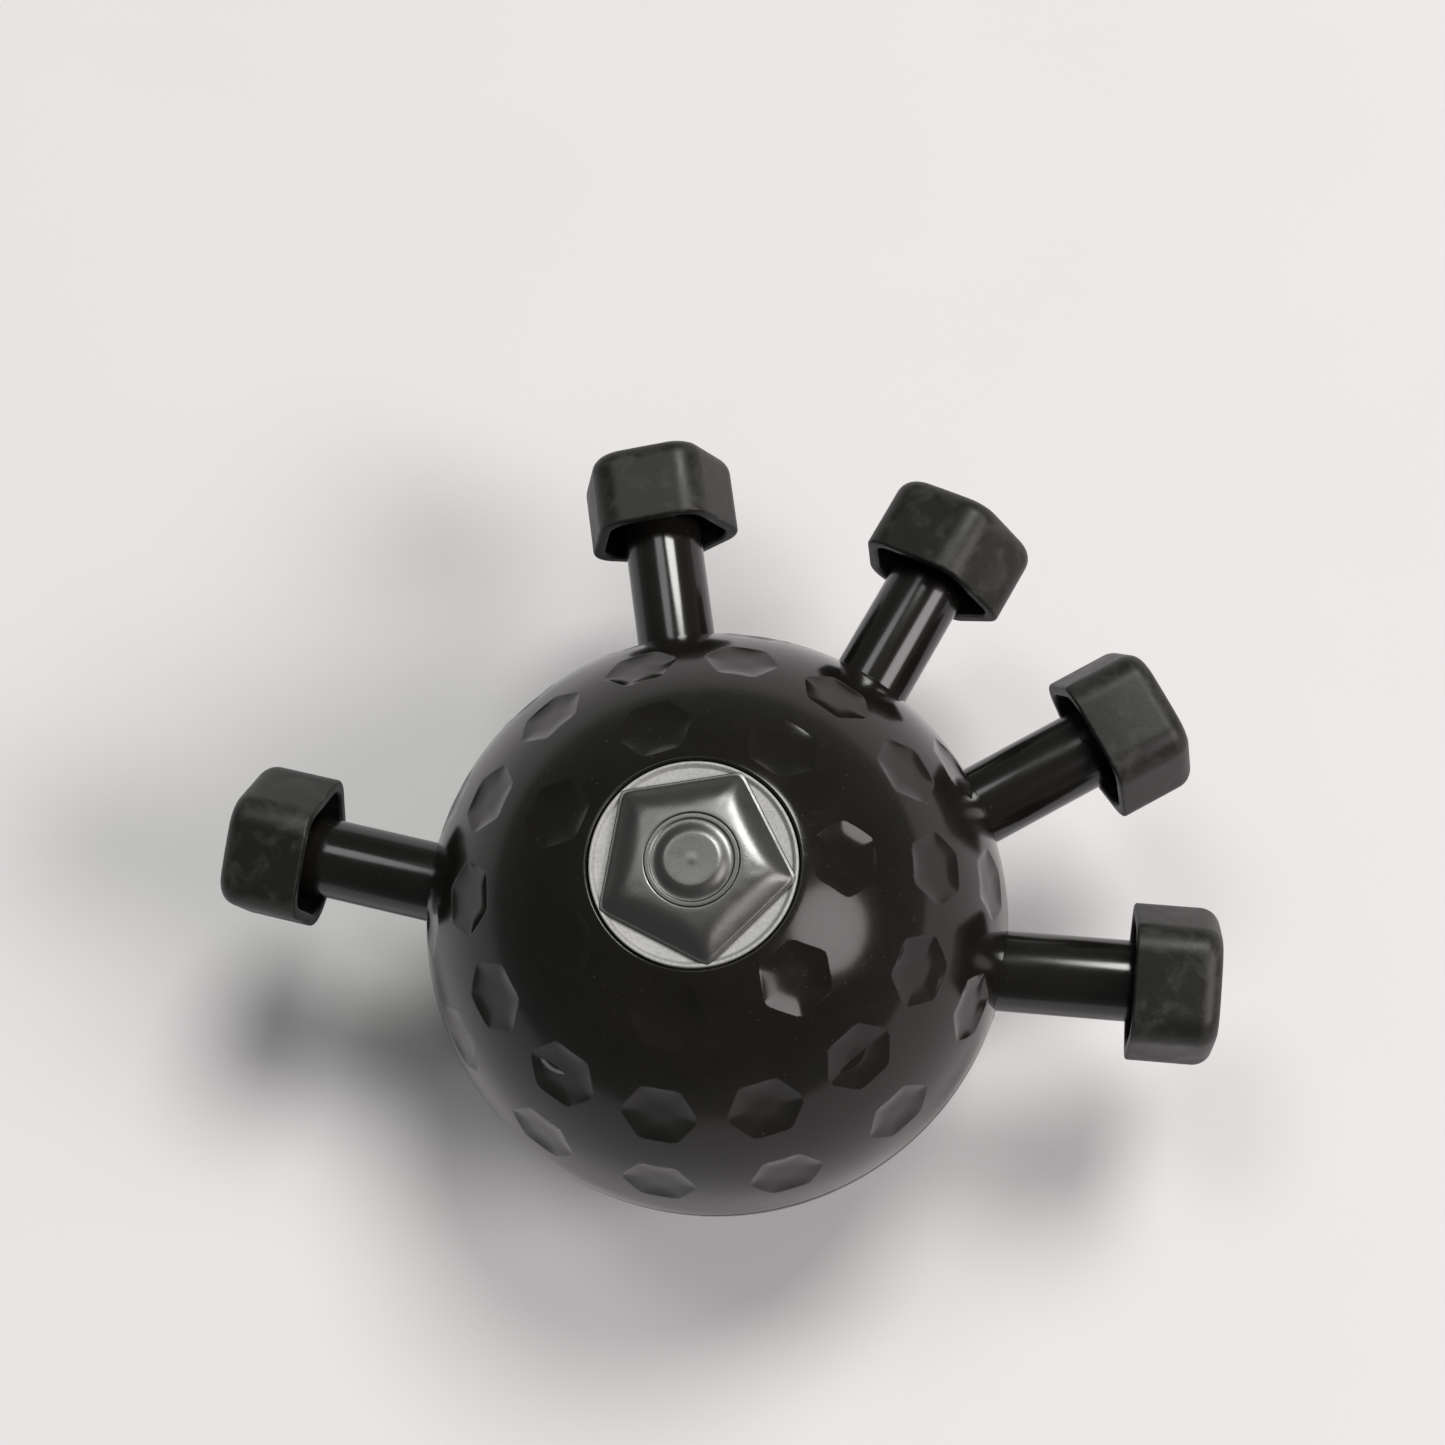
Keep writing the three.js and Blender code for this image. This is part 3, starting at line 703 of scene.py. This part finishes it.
def half_shell(pole_bore, peg):
    """A half shell with its pole up, closed all round, with guides and peg columns inside."""
    solid = Solid()
    outer_rim = rim_points(BALL_R)
    inner_rim = rim_points(INNER_R)
    arcs = []
    for step in range(6):
        angle = math.pi / 2 * step / 5
        ring = []
        for point, off, inward in outer_rim:
            corner = point - RIM_FILLET * (1 - math.sin(angle)) * off
            corner += RIM_FILLET * (1 - math.cos(angle)) * inward
            if step == 0:
                corner = corner.normalized() * BALL_R
            ring.append(corner)
        arcs.append(solid.add_points(ring))
    arcs.append(solid.add_points([point for point, _, _ in inner_rim]))
    for one, other in zip(arcs, arcs[1:]):
        solid.strip(other, one)

    skin_z = math.sqrt(BALL_R**2 - SKIN_RING_R**2)
    inner_z = math.sqrt(INNER_R**2 - HUB_BACKING_R**2)
    backing = RECESS_FLOOR - HUB_BACKING
    corners = [
        (SKIN_RING_R, skin_z, 0),
        (HUB_R, POLE_FLAT, 0.22),
        (HUB_R, RECESS_FLOOR, 0.15),
        *pole_bore,
        (POST_R, POST_END, 0.2),
        (POST_R, backing, 0.6),
        (HUB_BACKING_R, backing, 0.5),
        (HUB_BACKING_R, inner_z, 0),
    ]
    loops = solid.lathe(filleted(corners), POLE_SEGMENTS)
    free = to_chart(dimple_lattice())
    plain = lattice(1.25, math.pi / 2 * BALL_R)
    plain = plain[~in_dimple(from_chart(plain), 0.75)]
    outer_skin = Skin(surface_radius, 1.25)
    triangulate(solid, arcs[0], loops[0], np.concatenate((free, plain)), outer_skin, skin_normals)
    inner_skin = Skin(lambda directions: np.full(len(directions), INNER_R), 3)
    first = len(solid.faces)
    triangulate(solid, arcs[-1], loops[-1], lattice(3, math.pi / 2 * BALL_R), inner_skin)
    solid.faces[first:] = [tuple(reversed(f)) for f in solid.faces[first:]]
    solid.face_outward()

    for plunger in PLUNGERS:
        low, _ = plunger.span(f"{plunger.name}_stem")
        surface = math.sqrt(BALL_R**2 - (FAN_OFFSET * plunger.axis.x) ** 2) + FAN_OFFSET * plunger.axis.y
        solid.absorb(half_tube(plunger, low / MM - 2.7, surface - 1.6, GUIDE_BORE_R, GUIDE_R))
    for x in (-PEG_X, PEG_X):
        column = Solid()
        column.lathe(filleted(peg), 32, close=True)
        column.points = np.array(column.points) + (x, PEG_Y, 0)
        solid.absorb(column)
    return solid


PEG_TOP = math.sqrt(INNER_R**2 - PEG_X**2 - PEG_Y**2) + 1.2
FRONT_PEG = [
    (0, PARTING - PEG_LENGTH, 0), (1.5, PARTING - PEG_LENGTH, 0.5), (1.5, PARTING, 0),
    (3, PARTING, 0.2), (3, PEG_TOP, 0), (0, PEG_TOP, 0),
]
REAR_PEG = [(1.8, PARTING, 0.2), (3, PARTING, 0.2), (3, PEG_TOP, 0), (0, PEG_TOP, 0), (0, 4.3, 0), (1.8, 4.3, 0)]
FRONT_BORE = [
    (HEAD_POCKET_R, RECESS_FLOOR, 0.15),
    (HEAD_POCKET_R, RECESS_FLOOR - HEAD_POCKET_DEPTH, 0.15),
    (SCREW_HOLE_R, RECESS_FLOOR - HEAD_POCKET_DEPTH, 0.1),
    (SCREW_HOLE_R, POST_END, 0.2),
]
INSERT_END = POST_END + 6.6
REAR_BORE = [
    (0, RECESS_FLOOR, 0), (0, INSERT_END + 2, 0), (SCREW_HOLE_R, INSERT_END + 2, 0.3),
    (SCREW_HOLE_R, INSERT_END, 0.1), (3.1, INSERT_END, 0.1), (3.1, POST_END, 0.2),
]
AT_BALL = Matrix.Translation(BALL_CENTRE)
make_piece("dimpled_front_shell", half_shell(FRONT_BORE, FRONT_PEG), "shell_black", "ball", "front_shell",
           AT_BALL)
rear = half_shell(REAR_BORE, REAR_PEG)
rear.points = [(x, y, -z) for x, y, z in rear.points]
for corner_normals in rear.normals.values():
    for key, normal in corner_normals.items():
        corner_normals[key] = normal * (1, 1, -1)
make_piece("dimpled_rear_shell", rear, "shell_black", "ball", "rear_shell", AT_BALL)


# ---------------------------------------------------------------- hub
PENTAGON_APOTHEM = 8.68
PENTAGON_TURN = math.radians(62)
PENTAGON_POWER = 45
HUB_SEGMENTS = 180


def hub_plate():
    """Pale plate with a low rounded rim at its edge."""
    bottom = RECESS_FLOOR + 0.3
    top = bottom + 0.9
    solid = Solid()
    solid.lathe(filleted([
        (4.9, bottom, 0), (10.7, bottom, 0.1), (10.7, top + 0.4, 0.16), (10.4, top + 0.4, 0.14),
        (10.05, top, 0.2), (4.9, top, 0),
    ]), HUB_SEGMENTS, close=True)
    return solid


def pentagon_pillow():
    """Five-sided pillow: steep by its edges, level by the plug, with a soft crease to each corner."""
    bottom = RECESS_FLOOR + 1.5
    edge = bottom + 0.22
    crest = BALL_R - 0.3
    hole = 4.88
    angles = PENTAGON_TURN + 2 * math.pi * np.arange(HUB_SEGMENTS) / HUB_SEGMENTS
    compass = np.stack((np.cos(angles), np.sin(angles)), 1)
    first_side = PENTAGON_TURN + math.pi / 5
    outline = PENTAGON_APOTHEM / polygon_reach(compass[:, 0], compass[:, 1], 5, first_side, PENTAGON_POWER)
    flange = 0.34
    fall = PENTAGON_APOTHEM - flange - hole

    def height(points, softness):
        reach = polygon_reach(points[:, 0], points[:, 1], 5, first_side, softness)
        share = np.clip((PENTAGON_APOTHEM - flange - reach) / fall, 0, 1)
        return edge + (crest - edge) * (1 - (1 - share) ** 2)

    solid = Solid()
    loops = []
    lip = 0.16
    for radius, level in ((outline, bottom), (outline, edge - lip)):
        loops.append(solid.add_points(np.column_stack((compass * radius[:, None], np.full(HUB_SEGMENTS, level)))))
    for step in range(1, 5):
        angle = math.pi / 2 * step / 5
        radius = outline - lip * (1 - math.cos(angle))
        level = edge - lip * (1 - math.sin(angle))
        loops.append(solid.add_points(np.column_stack((compass * radius[:, None], np.full(HUB_SEGMENTS, level)))))
    for step in range(28):
        share = 1 - (step / 27)
        radius = hole + 0.04 + (outline - lip - hole - 0.04) * share
        flat = compass * radius[:, None]
        softness = 3.5 + (PENTAGON_POWER - 3.5) * share**2.5
        loops.append(solid.add_points(np.column_stack((flat, height(flat, softness)))))
    inner = compass * hole
    loops.append(solid.add_points(np.column_stack((inner, np.full(HUB_SEGMENTS, crest - 0.04)))))
    loops.append(solid.add_points(np.column_stack((inner, np.full(HUB_SEGMENTS, bottom)))))
    for one, other in zip(loops, loops[1:] + loops[:1]):
        solid.strip(one, other)
    return solid


def round_plug():
    """Round button: a thin raised rim, then a smooth shoulder up to a level middle with a moulding nub."""
    bottom = RECESS_FLOOR + 0.3
    rim = BALL_R - 0.3
    moat = rim - 0.1
    rise = 0.42
    outline = filleted([
        (0, bottom, 0), (4.82, bottom, 0.1), (4.82, rim, 0.06), (4.4, rim, 0.15), (4.2, moat, 0.15), (4.1, moat, 0),
    ])[:-1]
    for share in np.linspace(0, 1, 18):
        outline.append((4.1 - 1.5 * share, moat + rise * (3 * share**2 - 2 * share**3)))
    top = moat + rise
    outline += [(radius, top - 0.04 * (1 - (radius / 2.6) ** 2)) for radius in (2.2, 1.8, 1.4, 1.0, 0.6)]
    outline += [(0.4, top - 0.02), (0.2, top - 0.01), (0, top - 0.005)]
    solid = Solid()
    solid.lathe(outline, 120)
    return solid


def rubber_pad():
    """Flat foot with two shallow grooves, standing a little proud of the rear recess."""
    face = -BALL_CENTRE.z / MM
    back = -RECESS_FLOOR - 0.3
    corners = [(0, face, 0)]
    for groove in (4.6, 7.8):
        corners += [(groove, face, 0.08), (groove + 0.25, face + 0.35, 0.08),
                    (groove + 0.55, face + 0.35, 0.08), (groove + 0.8, face, 0.08)]
    corners += [(10.5, face, 0.45), (10.5, back, 0.2), (0, back, 0)]
    solid = Solid()
    solid.lathe(filleted(corners, 5), HUB_SEGMENTS)
    return solid


make_piece("hub_plate", hub_plate(), "hub_grey", "ball", "hub_disc", AT_BALL)
make_piece("pentagon_pillow", pentagon_pillow(), "pentagon_grey", "ball", "pentagon_cap", AT_BALL, sharp=50)
make_piece("round_plug", round_plug(), "pentagon_grey", "ball", "centre_plug", AT_BALL)
make_piece("rubber_pad", rubber_pad(), "pad_grey", "ball", "rear_pad", AT_BALL)


# ---------------------------------------------------------------- plungers
def rounded_pentagon(angle, circumradius, corner):
    """Polar radius of a pentagon with rounded corners, for an angle from one of its corners."""
    side = 2 * math.pi / 5
    off = abs(angle - side * round(angle / side))
    centre = circumradius - corner
    arc_end = math.atan2(corner * math.sin(side / 2), centre + corner * math.cos(side / 2))
    if off > arc_end:
        return (centre * math.cos(side / 2) + corner) / math.cos(side / 2 - off)
    across = centre * math.sin(off)
    return centre * math.cos(off) + math.sqrt(corner**2 - across**2)


def finger_cap():
    """Rounded pentagon with a shallow seat for the fingertip and a hollow underside."""
    socket = STEM_R + 0.3
    cavity = CAP_R - CAP_WALL
    end = STEM_LENGTH - 19.3 + 0.3
    rim_r = 0.35
    outline = filleted([
        (0, end, 0),
        (socket, end, 0.2),
        (socket, CAP_ROOF, 0.3),
        (cavity, CAP_ROOF, 0.9),
        (cavity, 0, rim_r),
        (CAP_R, 0, rim_r),
        (CAP_R, CAP_HEIGHT, 2.2),
        (6.0, CAP_HEIGHT, 0.9),
        (4.6, CAP_HEIGHT - 0.72, 1.6),
        (0, CAP_HEIGHT - 1.2, 0),
    ], 8)
    segments = 200
    solid = Solid()
    loops = solid.lathe(outline, segments)
    for i in (i for loop in loops for i in loop):
        x, y, z = solid.points[i]
        radius = math.hypot(x, y)
        share = min(max((radius - socket) / (cavity - socket), 0), 1)
        factor = 1 + share * (rounded_pentagon(math.atan2(y, -x), CAP_R, CAP_CORNER_R) / CAP_R - 1)
        solid.points[i] = (x * factor, y * factor, z)
    return solid


def stem_tube():
    """Hollow stem, closed at its outer end, from its inner end."""
    solid = Solid()
    solid.lathe(filleted([
        (0, STEM_LENGTH - 1.2, 0),
        (STEM_BORE_R, STEM_LENGTH - 1.2, 0.3),
        (STEM_BORE_R, 0, 0.15),
        (STEM_R, 0, 0.4),
        (STEM_R, STEM_LENGTH, 0.3),
        (0, STEM_LENGTH, 0),
    ]), 120)
    return solid


def coil_spring(length):
    """Round wire wound with a closed turn at each end."""
    per_turn, turns, sides = 28, 7, 10
    solid = Solid()
    loops = []
    steps = per_turn * turns
    ends = 0.12  # share of the turns that lie close at each end
    for i in range(steps + 1):
        share = i / steps
        if share < ends:
            along = 0.1 * share / ends * share / ends / 2
        elif share > 1 - ends:
            along = 1 - 0.05 * ((1 - share) / ends) ** 2
        else:
            along = 0.05 + 0.9 * (share - ends) / (1 - 2 * ends)
        angle = 2 * math.pi * turns * share
        out = Vector((math.cos(angle), math.sin(angle), 0))
        centre = out * SPRING_MEAN_R + UP * (SPRING_WIRE_R + along * (length - 2 * SPRING_WIRE_R))
        ring = [centre + SPRING_WIRE_R * (out * math.cos(a) + UP * math.sin(a))
                for a in (2 * math.pi * k / sides for k in range(sides))]
        loops.append(solid.add_points(ring))
    for one, other in zip(loops, loops[1:]):
        solid.strip(one, other)
    solid.faces.append(tuple(reversed(loops[0])))
    solid.faces.append(tuple(loops[-1]))
    return solid


for plunger in PLUNGERS:
    name = plunger.name
    inner_end, _ = plunger.span(f"{name}_stem")
    rim, _ = plunger.span(f"{name}_cap")
    spring_start, spring_end = plunger.span(f"{name}_spring")
    make_piece(f"{name}_stem_tube", stem_tube(), "stem_black", plunger.body, f"{name}_stem",
               plunger.matrix(inner_end) @ ALONG_X)
    turn = Matrix.Rotation(math.radians(CAP_TURN[name]), 4, "X")
    make_piece(f"{name}_finger_cap", finger_cap(), "cap_black", plunger.body, f"{name}_cap",
               plunger.matrix(rim) @ turn @ ALONG_X)
    spring_length = spring_end - spring_start
    spring = make_piece(f"{name}_coil_spring", coil_spring(spring_length / MM), "steel", "ball",
                        f"{name}_spring", plunger.matrix(spring_start) @ ALONG_X)
    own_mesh(spring)

# ---------------------------------------------------------------- fasteners inside
THREAD_PITCH = 0.5
THREAD_DEPTH = 0.28
THREAD_STEPS = 6  # points along each turn


def thread_line(radius, start, end):
    """Corners along a shank, close enough together to carry a thread."""
    return [(radius, height, 0) for height in np.arange(start, end, THREAD_PITCH / THREAD_STEPS)]


def cut_thread(solid, radius, start, end):
    """Cuts a screw thread into the shank between two heights, fading out over the last turns."""
    for i, (x, y, z) in enumerate(solid.points):
        if abs(math.hypot(x, y) - radius) > 0.01 or not start <= z <= end:
            continue
        turns = z / THREAD_PITCH - math.atan2(y, x) / (2 * math.pi)
        groove = 1 - abs(2 * (turns % 1) - 1)
        fade = min(1, (z - start) / THREAD_PITCH, (end - z) / (2 * THREAD_PITCH))
        factor = 1 - THREAD_DEPTH * groove * fade / radius
        solid.points[i] = (x * factor, y * factor, z)


def shape_socket(solid, radius, floor):
    """Draws a round pocket in to a hexagonal one for a key."""
    for i, (x, y, z) in enumerate(solid.points):
        if z >= floor - 0.01 and math.hypot(x, y) < radius + 0.2:
            off = math.atan2(y, x) % (math.pi / 3) - math.pi / 6
            factor = math.cos(math.pi / 6) / math.cos(off)
            solid.points[i] = (x * factor, y * factor, z)


def socket_screw():
    """Cap screw with a hexagonal socket, threaded where it goes through the insert."""
    under = RECESS_FLOOR - HEAD_POCKET_DEPTH + 0.3
    top = under + SCREW_HEAD_HEIGHT
    tip = -(POST_END + INSERT_LENGTH)
    thread_end = tip + 14
    key_r, key_floor = 1.3, top - 1.2
    solid = Solid()
    solid.lathe(filleted([
        (0, tip, 0), (SCREW_R - 0.35, tip, 0), *thread_line(SCREW_R, tip + 0.35, thread_end),
        (SCREW_R, under, 0.12), (SCREW_HEAD_R, under, 0.12), (SCREW_HEAD_R, top, 0.4),
        (key_r, top, 0.12), (key_r, key_floor, 0), (0, key_floor - 0.35, 0),
    ]), 48)
    cut_thread(solid, SCREW_R, tip + 0.35, thread_end)
    shape_socket(solid, key_r, key_floor)
    return solid


def guide_pin(length):
    """Headed pin with a threaded end, a shoulder that seats on the core and a socket for a key."""
    under = length - PIN_HEAD_HEIGHT
    key_r, key_floor = 0.95, length - 0.9
    solid = Solid()
    solid.lathe(filleted([
        (0, 0, 0), (PIN_THREAD_R - 0.3, 0, 0), *thread_line(PIN_THREAD_R, 0.3, PIN_SHOULDER - 0.3),
        (PIN_THREAD_R, PIN_SHOULDER, 0), (PIN_R, PIN_SHOULDER, 0.2), (PIN_R, under, 0.15),
        (PIN_HEAD_R, under, 0.15), (PIN_HEAD_R, length, 0.3),
        (key_r, length, 0.1), (key_r, key_floor, 0), (0, key_floor - 0.25, 0),
    ]), 48)
    cut_thread(solid, PIN_THREAD_R, 0.3, PIN_SHOULDER - 0.3)
    shape_socket(solid, key_r, key_floor)
    return solid


def retaining_ring(thickness):
    solid = Solid()
    solid.lathe(filleted([
        (RING_BORE_R, 0, 0.12), (RING_R, 0, 0.25), (RING_R, thickness, 0.12), (RING_BORE_R, thickness, 0.12),
    ], 4), 72, close=True)
    return solid


def knurled_insert():
    """Brass insert with two knurled bands and a plain groove between them."""
    top = -(POST_END + 0.3)
    bottom = top - INSERT_LENGTH
    groove_r, knurl_depth, ridges = 2.5, 0.13, 24
    outline = [(SCREW_HOLE_R, bottom), (groove_r, bottom)]
    for start in (bottom + 0.4, bottom + 3.4):
        outline += [(groove_r, start), *((INSERT_R, h) for h in np.linspace(start + 0.1, start + 2.1, 17)),
                    (groove_r, start + 2.2)]
    outline += [(groove_r, top), (SCREW_HOLE_R, top)]
    solid = Solid()
    solid.lathe(outline, 144, close=True)
    for i, (x, y, z) in enumerate(solid.points):
        if math.hypot(x, y) < INSERT_R - 0.01:
            continue
        angle = math.atan2(y, x) * ridges / (2 * math.pi)
        lean = z * 1.3
        groove = max(abs((angle + way * lean) % 1 - 0.5) * 4 - 1 for way in (1, -1))
        factor = 1 - knurl_depth * max(groove, 0) / INSERT_R
        solid.points[i] = (x * factor, y * factor, z)
    return solid


make_piece("socket_screw", socket_screw(), "steel", "ball", "central_screw", AT_BALL)
make_piece("knurled_insert", knurled_insert(), "brass", "ball", "threaded_insert", AT_BALL, sharp=30)
for plunger in PLUNGERS:
    name = plunger.name
    pin_start, pin_end = plunger.span(f"{name}_guide_pin")
    make_piece(f"{name}_headed_pin", guide_pin((pin_end - pin_start) / MM), "steel", "ball",
               f"{name}_guide_pin", plunger.matrix(pin_start) @ ALONG_X)
    ring_start, ring_end = plunger.span(f"{name}_retaining_ring")
    make_piece(f"{name}_snap_ring", retaining_ring((ring_end - ring_start) / MM), "steel", plunger.body,
               f"{name}_retaining_ring", plunger.matrix(ring_start) @ ALONG_X)

# The core keeps its CAD shape
core = frame["nodes"]["spring_core"]
core.data.materials.clear()
core.data.materials.append(FINISHES["nylon"])

# ---------------------------------------------------------------- camera, in the ball's frame
CAMERA_RIGHT = Vector((0.99689, 0.0, -0.0788))
CAMERA_UP = Vector((0.02139, 0.9625, 0.2706))
CAMERA_BACK = CAMERA_RIGHT.cross(CAMERA_UP).normalized()
CAMERA_PLACE = Vector((23.23, -57.77, 317.81)) * MM
camera_data = bpy.data.cameras.new("camera")
camera_data.lens = 64.85
camera_data.sensor_width = 36
camera = bpy.data.objects.new("camera", camera_data)
camera.matrix_world = Matrix.Translation(CAMERA_PLACE) @ Matrix(
    (CAMERA_RIGHT, CAMERA_UP, CAMERA_BACK)).transposed().to_4x4()
bpy.context.scene.collection.objects.link(camera)
bpy.context.scene.camera = camera


# ---------------------------------------------------------------- light and floor
def towards_light(right, up):
    """Direction from the ball at angles right and up of the camera."""
    right, up = math.radians(right), math.radians(up)
    level = CAMERA_BACK * math.cos(right) + CAMERA_RIGHT * math.sin(right)
    return level * math.cos(up) + CAMERA_UP * math.sin(up)


def place_light(name, data, towards, distance):
    """A light at a distance from the ball, shining at it."""
    light = bpy.data.objects.new(name, data)
    turn = towards.to_track_quat("Z", "Y").to_matrix().to_4x4()
    light.matrix_world = Matrix.Translation(BALL_CENTRE + towards * distance) @ turn
    bpy.context.scene.collection.objects.link(light)


def softbox(name, towards, distance, width, height, watts, colour):
    """A round-edged area light, made of three that overlap so that it fades outwards."""
    for layer, size in enumerate((1.25, 1.0, 0.72)):
        data = bpy.data.lights.new(f"{name}_{layer}", "AREA")
        data.shape = "ELLIPSE"
        data.size = width * size
        data.size_y = height * size
        data.energy = watts * size**2 / 3
        data.color = colour
        place_light(data.name, data, towards, distance)


softbox("top", towards_light(-22, 34), 2.4, 0.72, 0.60, 12, (1.0, 1.0, 1.0))
softbox("side", towards_light(43, 1), 2.2, 1.0, 0.94, 44, (1.0, 0.92, 0.93))
key = bpy.data.lights.new("key", "SUN")
key.energy = 2.3
key.angle = math.radians(22)
key.color = (1.0, 0.99, 0.97)
place_light("key", key, towards_light(16, 42), 1.0)

world = bpy.data.worlds.new("studio")
bpy.context.scene.world = world
world.use_nodes = True
tree = world.node_tree
background = tree.nodes["Background"]
where = tree.nodes.new("ShaderNodeTexCoord")
split = tree.nodes.new("ShaderNodeSeparateXYZ")
tree.links.new(where.outputs["Generated"], split.inputs[0])
shade = tree.nodes.new("ShaderNodeMapRange")
for socket, number in (("From Min", 0.0), ("From Max", 0.4), ("To Min", 0.26), ("To Max", 0.11)):
    shade.inputs[socket].default_value = number
tree.links.new(split.outputs["Z"], shade.inputs["Value"])
tree.links.new(shade.outputs[0], background.inputs["Strength"])
background.inputs["Color"].default_value = (1, 1, 1, 1)

bpy.context.scene.view_settings.view_transform = "Standard"

floor_mesh = bpy.data.meshes.new("floor")
reach = 3.0
floor_mesh.from_pydata([(-reach, -reach, 0), (reach, -reach, 0), (reach, reach, 0), (-reach, reach, 0)], [],
                       [(0, 1, 2, 3)])
floor_finish = Finish("floor", (0.56, 0.56, 0.56), 0.85, Specular_IOR_Level=0.1)
floor_finish.tint(floor_finish.ramp(floor_finish.noise(40, detail=2), 0.4, 0.6), (0.555, 0.555, 0.555))
floor_mesh.materials.append(floor_finish.done())
floor = bpy.data.objects.new("floor", floor_mesh)
bpy.context.scene.collection.objects.link(floor)
